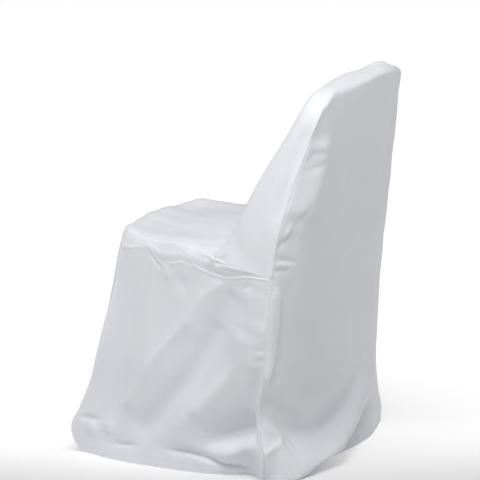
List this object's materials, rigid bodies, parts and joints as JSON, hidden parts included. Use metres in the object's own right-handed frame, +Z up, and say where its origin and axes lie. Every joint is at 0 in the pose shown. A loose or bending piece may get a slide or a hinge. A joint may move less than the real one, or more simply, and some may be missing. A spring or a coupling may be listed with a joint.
{
  "type": "folding chair cover",
  "caption": "Fitted white polyester cover in the shape of a folding chair: tall back, seat and skirt down to the floor, with soft folds and pooled rear corners.",
  "frame": {"origin": "middle of the footprint, on the floor", "axes": "+Z up, -Y the way a sitter faces, +X the sitter's left"},
  "size_m": [0.5137, 0.5508, 0.7886],
  "materials": {
    "white_polyester": "plain woven polyester, smooth, with a slight sheen"
  },
  "bodies": {
    "root": {"front_panel": "white_polyester", "rear_panel": "white_polyester", "side_panel_left": "white_polyester", "side_panel_right": "white_polyester"}
  },
  "joints": []
}
